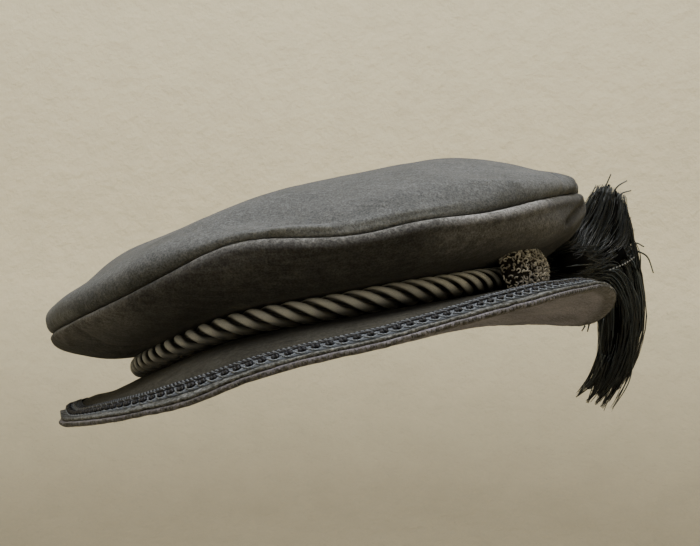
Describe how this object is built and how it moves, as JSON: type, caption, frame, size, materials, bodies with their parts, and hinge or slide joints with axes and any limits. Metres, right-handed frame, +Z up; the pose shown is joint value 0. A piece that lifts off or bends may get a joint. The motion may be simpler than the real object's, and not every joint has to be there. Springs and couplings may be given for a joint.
{
  "type": "tudor hat",
  "caption": "Flat suede cap with a puffed two-panel crown, narrow stitched brim, twisted cord, braid, looped rosette and a hanging black plume.",
  "frame": {"origin": "centre of the head opening, at the middle of the brim's thickness, where the head carries the hat", "axes": "+Z straight up as worn, +X to the hat's right side as seen from the front, -Y to the front; the brim's plane is tilted 13.1 degrees up at the front and 12.1 degrees up at the right"},
  "size_m": [0.3543, 0.3536, 0.1659],
  "materials": {
    "crown_suede": "napped blue-grey suede, worn lighter on its folds",
    "side_suede": "napped dark brown-grey suede",
    "brim_suede": "napped grey suede with a stitched edge",
    "under_suede": "smooth taupe suede with long soft wrinkles",
    "braid": "knotted navy-black gimp with pale grey loops",
    "cord": "twisted satin cord, soft sheen along its strands",
    "rosette": "looped tan gimp cord over a dark ground",
    "plume": "black silky fringe strands with thin highlights"
  },
  "bodies": {
    "root": {"crown_top": "crown_suede", "crown_side": "side_suede", "brim_top": "brim_suede", "brim_under": "under_suede", "brim_braid": "braid", "hat_cord": "cord", "rosette": "rosette", "plume": "plume"}
  },
  "joints": []
}
